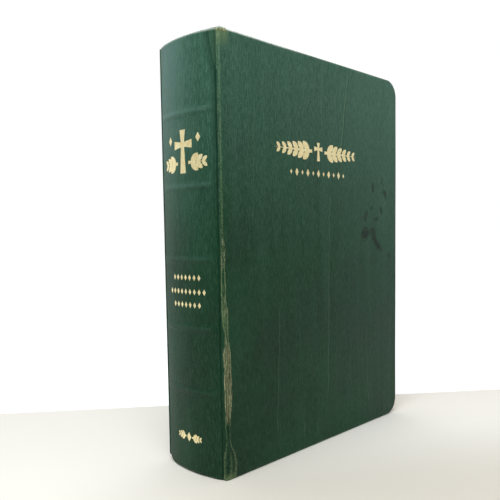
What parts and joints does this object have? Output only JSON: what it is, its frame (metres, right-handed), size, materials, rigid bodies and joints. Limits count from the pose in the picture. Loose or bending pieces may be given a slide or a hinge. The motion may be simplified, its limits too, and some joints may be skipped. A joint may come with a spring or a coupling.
{
  "type": "bible",
  "caption": "Thick case-bound book with a rounded, banded spine, round-cornered covers in grained green covering and a plain gilt cross ornament.",
  "frame": {"origin": "centre of the closed book's bottom, midway between its covers and between spine and fore-edge, on the surface it stands on", "axes": "+X from the spine to the fore-edge, +Y from the front cover to the back cover, +Z from tail to head"},
  "size_m": [0.1582, 0.0461, 0.215],
  "materials": {
    "covering": "green straight-grain imitation leather, satin, worn at the joints",
    "board": "grey-brown binder's board",
    "card": "thin spine card",
    "pages": "thin book paper with slightly yellowed cut edges",
    "endpaper": "smooth cream endpaper",
    "gauze": "open-weave starched gauze",
    "kraft": "brown kraft paper",
    "thread": "linen thread",
    "band_silk": "woven band in green and cream stripes",
    "gilt": "pale gold foil, slightly rubbed"
  },
  "bodies": {
    "spine": {"spine_cloth": "covering", "spine_inlay": "card", "sewing_thread": "thread", "mull": "gauze", "spine_lining": "kraft", "headband": "band_silk", "tailband": "band_silk", "spine_stamp": "gilt"},
    "front_cover": {"front_board": "board", "front_cover_cloth": "covering", "front_pastedown": "endpaper", "front_mull_flap": "gauze", "front_stamp": "gilt"},
    "front_endleaf": {"front_flyleaf": "endpaper"},
    "front_pages_01": {"front_section_01": "pages"},
    "front_pages_02": {"front_section_02": "pages"},
    "front_pages_03": {"front_section_03": "pages"},
    "front_pages_04": {"front_section_04": "pages"},
    "front_pages_05": {"front_section_05": "pages"},
    "front_pages_06": {"front_section_06": "pages"},
    "front_pages_07": {"front_section_07": "pages"},
    "front_pages_08": {"front_section_08": "pages"},
    "front_pages_09": {"front_section_09": "pages"},
    "front_pages_10": {"front_section_10": "pages"},
    "front_pages_11": {"front_section_11": "pages"},
    "front_pages_12": {"front_section_12": "pages"},
    "back_cover": {"back_board": "board", "back_cover_cloth": "covering", "back_pastedown": "endpaper", "back_mull_flap": "gauze"},
    "back_endleaf": {"back_flyleaf": "endpaper"},
    "back_pages_01": {"back_section_01": "pages"},
    "back_pages_02": {"back_section_02": "pages"},
    "back_pages_03": {"back_section_03": "pages"},
    "back_pages_04": {"back_section_04": "pages"},
    "back_pages_05": {"back_section_05": "pages"},
    "back_pages_06": {"back_section_06": "pages"},
    "back_pages_07": {"back_section_07": "pages"},
    "back_pages_08": {"back_section_08": "pages"},
    "back_pages_09": {"back_section_09": "pages"},
    "back_pages_10": {"back_section_10": "pages"},
    "back_pages_11": {"back_section_11": "pages"},
    "back_pages_12": {"back_section_12": "pages"}
  },
  "joints": [
    {"name": "front_cover_opens", "type": "hinge", "parent": "spine", "child": "front_cover", "pos_m": [-0.07515, -0.0214, 0.1075], "axis": [0, 0, 1], "range_deg": [-175, 0]},
    {"name": "front_flyleaf_turns", "type": "hinge", "parent": "spine", "child": "front_endleaf", "pos_m": [-0.07515, -0.0214, 0.1075], "axis": [0, 0, 1], "range_deg": [-131.3, 0]},
    {"name": "front_pages_01_turn", "type": "hinge", "parent": "spine", "child": "front_pages_01", "pos_m": [-0.07515, -0.0214, 0.1075], "axis": [0, 0, 1], "range_deg": [-87.6, 0]},
    {"name": "front_pages_02_turn", "type": "hinge", "parent": "spine", "child": "front_pages_02", "pos_m": [-0.07515, -0.0214, 0.1075], "axis": [0, 0, 1], "range_deg": [-80.3, 0]},
    {"name": "front_pages_03_turn", "type": "hinge", "parent": "spine", "child": "front_pages_03", "pos_m": [-0.07515, -0.0214, 0.1075], "axis": [0, 0, 1], "range_deg": [-73, 0]},
    {"name": "front_pages_04_turn", "type": "hinge", "parent": "spine", "child": "front_pages_04", "pos_m": [-0.07515, -0.0214, 0.1075], "axis": [0, 0, 1], "range_deg": [-65.7, 0]},
    {"name": "front_pages_05_turn", "type": "hinge", "parent": "spine", "child": "front_pages_05", "pos_m": [-0.07515, -0.0214, 0.1075], "axis": [0, 0, 1], "range_deg": [-58.4, 0]},
    {"name": "front_pages_06_turn", "type": "hinge", "parent": "spine", "child": "front_pages_06", "pos_m": [-0.07515, -0.0214, 0.1075], "axis": [0, 0, 1], "range_deg": [-51.1, 0]},
    {"name": "front_pages_07_turn", "type": "hinge", "parent": "spine", "child": "front_pages_07", "pos_m": [-0.07515, -0.0214, 0.1075], "axis": [0, 0, 1], "range_deg": [-43.8, 0]},
    {"name": "front_pages_08_turn", "type": "hinge", "parent": "spine", "child": "front_pages_08", "pos_m": [-0.07515, -0.0214, 0.1075], "axis": [0, 0, 1], "range_deg": [-36.5, 0]},
    {"name": "front_pages_09_turn", "type": "hinge", "parent": "spine", "child": "front_pages_09", "pos_m": [-0.07515, -0.0214, 0.1075], "axis": [0, 0, 1], "range_deg": [-29.2, 0]},
    {"name": "front_pages_10_turn", "type": "hinge", "parent": "spine", "child": "front_pages_10", "pos_m": [-0.07515, -0.0214, 0.1075], "axis": [0, 0, 1], "range_deg": [-21.9, 0]},
    {"name": "front_pages_11_turn", "type": "hinge", "parent": "spine", "child": "front_pages_11", "pos_m": [-0.07515, -0.0214, 0.1075], "axis": [0, 0, 1], "range_deg": [-14.6, 0]},
    {"name": "front_pages_12_turn", "type": "hinge", "parent": "spine", "child": "front_pages_12", "pos_m": [-0.07515, -0.0214, 0.1075], "axis": [0, 0, 1], "range_deg": [-7.4, 0]},
    {"name": "back_cover_opens", "type": "hinge", "parent": "spine", "child": "back_cover", "pos_m": [-0.07515, 0.0214, 0.1075], "axis": [0, 0, 1], "range_deg": [0, 175]},
    {"name": "back_flyleaf_turns", "type": "hinge", "parent": "spine", "child": "back_endleaf", "pos_m": [-0.07515, 0.0214, 0.1075], "axis": [0, 0, 1], "range_deg": [0, 131.3]},
    {"name": "back_pages_01_turn", "type": "hinge", "parent": "spine", "child": "back_pages_01", "pos_m": [-0.07515, 0.0214, 0.1075], "axis": [0, 0, 1], "range_deg": [0, 87.6]},
    {"name": "back_pages_02_turn", "type": "hinge", "parent": "spine", "child": "back_pages_02", "pos_m": [-0.07515, 0.0214, 0.1075], "axis": [0, 0, 1], "range_deg": [0, 80.3]},
    {"name": "back_pages_03_turn", "type": "hinge", "parent": "spine", "child": "back_pages_03", "pos_m": [-0.07515, 0.0214, 0.1075], "axis": [0, 0, 1], "range_deg": [0, 73]},
    {"name": "back_pages_04_turn", "type": "hinge", "parent": "spine", "child": "back_pages_04", "pos_m": [-0.07515, 0.0214, 0.1075], "axis": [0, 0, 1], "range_deg": [0, 65.7]},
    {"name": "back_pages_05_turn", "type": "hinge", "parent": "spine", "child": "back_pages_05", "pos_m": [-0.07515, 0.0214, 0.1075], "axis": [0, 0, 1], "range_deg": [0, 58.4]},
    {"name": "back_pages_06_turn", "type": "hinge", "parent": "spine", "child": "back_pages_06", "pos_m": [-0.07515, 0.0214, 0.1075], "axis": [0, 0, 1], "range_deg": [0, 51.1]},
    {"name": "back_pages_07_turn", "type": "hinge", "parent": "spine", "child": "back_pages_07", "pos_m": [-0.07515, 0.0214, 0.1075], "axis": [0, 0, 1], "range_deg": [0, 43.8]},
    {"name": "back_pages_08_turn", "type": "hinge", "parent": "spine", "child": "back_pages_08", "pos_m": [-0.07515, 0.0214, 0.1075], "axis": [0, 0, 1], "range_deg": [0, 36.5]},
    {"name": "back_pages_09_turn", "type": "hinge", "parent": "spine", "child": "back_pages_09", "pos_m": [-0.07515, 0.0214, 0.1075], "axis": [0, 0, 1], "range_deg": [0, 29.2]},
    {"name": "back_pages_10_turn", "type": "hinge", "parent": "spine", "child": "back_pages_10", "pos_m": [-0.07515, 0.0214, 0.1075], "axis": [0, 0, 1], "range_deg": [0, 21.9]},
    {"name": "back_pages_11_turn", "type": "hinge", "parent": "spine", "child": "back_pages_11", "pos_m": [-0.07515, 0.0214, 0.1075], "axis": [0, 0, 1], "range_deg": [0, 14.6]},
    {"name": "back_pages_12_turn", "type": "hinge", "parent": "spine", "child": "back_pages_12", "pos_m": [-0.07515, 0.0214, 0.1075], "axis": [0, 0, 1], "range_deg": [0, 7.4]}
  ],
  "couplings": [
    {"joint": "front_flyleaf_turns", "follows": "front_cover_opens", "ratio": 0.75},
    {"joint": "front_pages_01_turn", "follows": "front_cover_opens", "ratio": 0.5},
    {"joint": "front_pages_02_turn", "follows": "front_cover_opens", "ratio": 0.4583},
    {"joint": "front_pages_03_turn", "follows": "front_cover_opens", "ratio": 0.4167},
    {"joint": "front_pages_04_turn", "follows": "front_cover_opens", "ratio": 0.375},
    {"joint": "front_pages_05_turn", "follows": "front_cover_opens", "ratio": 0.3333},
    {"joint": "front_pages_06_turn", "follows": "front_cover_opens", "ratio": 0.2917},
    {"joint": "front_pages_07_turn", "follows": "front_cover_opens", "ratio": 0.25},
    {"joint": "front_pages_08_turn", "follows": "front_cover_opens", "ratio": 0.2083},
    {"joint": "front_pages_09_turn", "follows": "front_cover_opens", "ratio": 0.1667},
    {"joint": "front_pages_10_turn", "follows": "front_cover_opens", "ratio": 0.125},
    {"joint": "front_pages_11_turn", "follows": "front_cover_opens", "ratio": 0.0833},
    {"joint": "front_pages_12_turn", "follows": "front_cover_opens", "ratio": 0.0417},
    {"joint": "back_flyleaf_turns", "follows": "back_cover_opens", "ratio": 0.75},
    {"joint": "back_pages_01_turn", "follows": "back_cover_opens", "ratio": 0.5},
    {"joint": "back_pages_02_turn", "follows": "back_cover_opens", "ratio": 0.4583},
    {"joint": "back_pages_03_turn", "follows": "back_cover_opens", "ratio": 0.4167},
    {"joint": "back_pages_04_turn", "follows": "back_cover_opens", "ratio": 0.375},
    {"joint": "back_pages_05_turn", "follows": "back_cover_opens", "ratio": 0.3333},
    {"joint": "back_pages_06_turn", "follows": "back_cover_opens", "ratio": 0.2917},
    {"joint": "back_pages_07_turn", "follows": "back_cover_opens", "ratio": 0.25},
    {"joint": "back_pages_08_turn", "follows": "back_cover_opens", "ratio": 0.2083},
    {"joint": "back_pages_09_turn", "follows": "back_cover_opens", "ratio": 0.1667},
    {"joint": "back_pages_10_turn", "follows": "back_cover_opens", "ratio": 0.125},
    {"joint": "back_pages_11_turn", "follows": "back_cover_opens", "ratio": 0.0833},
    {"joint": "back_pages_12_turn", "follows": "back_cover_opens", "ratio": 0.0417}
  ]
}
